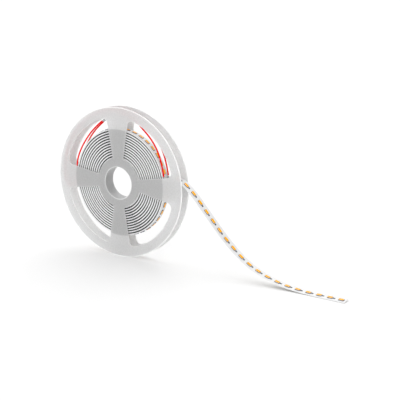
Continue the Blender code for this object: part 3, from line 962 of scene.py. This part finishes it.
# The outer strands are twisted round a middle one
def makeTip(name, start, ahead):
    shape = bmesh.new()
    turn = ahead.to_track_quat("Z", "Y").to_matrix().to_4x4()
    size, steps = lead["strandDiameter"], lead["twistSteps"]
    twist = Matrix.Rotation(lead["twistPerStep"], 4, "Z")
    move = Matrix.Translation((0, 0, lead["tipLength"] / steps)) @ twist
    for strand in range(lead["outerStrands"] + 1):
        made = bmesh.ops.create_circle(shape, cap_ends=True, segments=lead["strandSides"],
                                       radius=size / 2)
        spot = Vector((size * lead["strandSpacing"] if strand else 0, 0, 0))
        spot.rotate(Matrix.Rotation(math.tau * strand / lead["outerStrands"], 3, "Z"))
        bmesh.ops.translate(shape, verts=made["verts"], vec=spot)
        end = made["verts"][0].link_faces[0]
        for step in range(steps):
            grown = bmesh.ops.extrude_face_region(shape, geom=[end])["geom"]
            if step:
                bmesh.ops.delete(shape, geom=[end], context="FACES_ONLY")
            verts = [part for part in grown if isinstance(part, bmesh.types.BMVert)]
            end = next(part for part in grown if isinstance(part, bmesh.types.BMFace))
            bmesh.ops.transform(shape, matrix=move, verts=verts)
    bmesh.ops.recalc_face_normals(shape, faces=shape.faces)
    bmesh.ops.transform(shape, matrix=Matrix.Translation(start) @ turn, verts=shape.verts)
    return linkMesh(shape, name)


def makeJoint(name, first, second, y):
    back = (first - second).normalized()
    middle = first + back * (lead["gap"] + lead["jointLength"] / 2)
    out = Vector((middle.x, 0, middle.z - axisHeight)).normalized()
    reach = lead["jointRadius"] + lead["jointHeight"] / 2
    middle = Vector((0, y, axisHeight)) + out * reach
    turn = Matrix((out.cross(Vector((0, 1, 0))), Vector((0, 1, 0)), out)).transposed()
    size = Matrix.Diagonal((lead["jointLength"], lead["diameter"], lead["jointHeight"], 1))
    shape = bmesh.new()
    bmesh.ops.create_icosphere(shape, subdivisions=lead["jointFineness"], radius=0.5,
                               matrix=Matrix.Translation(middle) @ turn.to_4x4() @ size)
    return linkMesh(shape, name)


def makeLeads():
    for side, y in (("front", -lead["aside"]), ("rear", lead["aside"])):
        line = smoothLine([leadPoint(degrees, share, y * apart)
                           for degrees, share, apart in lead["route"]])
        if side == "rear":
            line = shortened(line, lead["rearShorter"])
        tube = makeTube("lead" + side.title(), line, lead["diameter"])
        finishPiece(tube, red, [f"lead_{side}"])
        ahead = (line[-1] - line[-2]).normalized()
        tip = makeTip("leadTip" + side.title(), line[-1] - ahead * lead["tipSunk"], ahead)
        finishPiece(tip, tinned, [f"lead_tip_{side}"], sharp=50)
        joint = makeJoint("solderJoint" + side.title(), line[0], line[1], y)
        finishPiece(joint, tinned, [f"solder_joint_{side}"], sharp=180)


makeLeads()
print("leads made")


# Studio: a white floor, a white surrounding and two broad soft lights
studio = {
    "floorSize": 60,
    "floorColour": 0.95,
    "floorGlow": 0.05,
    "world": 0.58,
    # strength, where it comes from, spread in degrees
    "lights": {"keyLight": (1.4, (-0.22, 0.42, 0.88), 80),
               "fillLight": (0.6, (0.30, -0.85, 0.45), 90)},
}


# 1 for rays that come from the camera, or that it sees in gloss or through the plastic
def seenRays(tree):
    rays = tree.nodes.new("ShaderNodeLightPath")
    seen = rays.outputs["Is Camera Ray"]
    for name in ("Is Glossy Ray", "Is Transmission Ray"):
        either = tree.nodes.new("ShaderNodeMath")
        either.operation = "MAXIMUM"
        tree.links.new(seen, either.inputs[0])
        tree.links.new(rays.outputs[name], either.inputs[1])
        seen = either.outputs["Value"]
    return seen


def makeFloor():
    shape = bmesh.new()
    bmesh.ops.create_grid(shape, x_segments=1, y_segments=1, size=studio["floorSize"] / 2)
    floor = linkMesh(shape, "floor")
    material = bpy.data.materials.new("whiteFloor")
    material.use_nodes = True
    tree = material.node_tree
    shader = tree.nodes["Principled BSDF"]
    shader.inputs["Base Color"].default_value = (*[studio["floorColour"]] * 3, 1)
    shader.inputs["Roughness"].default_value = 1
    shader.inputs["Specular IOR Level"].default_value = 0
    shader.inputs["Emission Color"].default_value = (1, 1, 1, 1)
    glow = tree.nodes.new("ShaderNodeMath")
    glow.operation = "MULTIPLY"
    glow.inputs[1].default_value = studio["floorGlow"]
    tree.links.new(seenRays(tree), glow.inputs[0])
    tree.links.new(glow.outputs["Value"], shader.inputs["Emission Strength"])
    floor.data.materials.append(material)


def makeWorld():
    world = bpy.data.worlds.new("whiteStudio")
    world.use_nodes = True
    tree = world.node_tree
    plain = tree.nodes["Background"]
    plain.inputs["Color"].default_value = (1, 1, 1, 1)
    plain.inputs["Strength"].default_value = studio["world"]
    white = tree.nodes.new("ShaderNodeBackground")
    white.inputs["Color"].default_value = (1, 1, 1, 1)
    mix = tree.nodes.new("ShaderNodeMixShader")
    tree.links.new(seenRays(tree), mix.inputs["Fac"])
    tree.links.new(plain.outputs["Background"], mix.inputs[1])
    tree.links.new(white.outputs["Background"], mix.inputs[2])
    tree.links.new(mix.outputs["Shader"], tree.nodes["World Output"].inputs["Surface"])
    scene.world = world


def makeLight(name, strength, place, spread):
    light = bpy.data.objects.new(name, bpy.data.lights.new(name, "SUN"))
    light.data.energy = strength
    light.data.angle = math.radians(spread)
    light.rotation_euler = (-Vector(place)).to_track_quat("-Z", "Y").to_euler()
    scene.collection.objects.link(light)


makeFloor()
makeWorld()
for name, values in studio["lights"].items():
    makeLight(name, *values)
print("studio made")
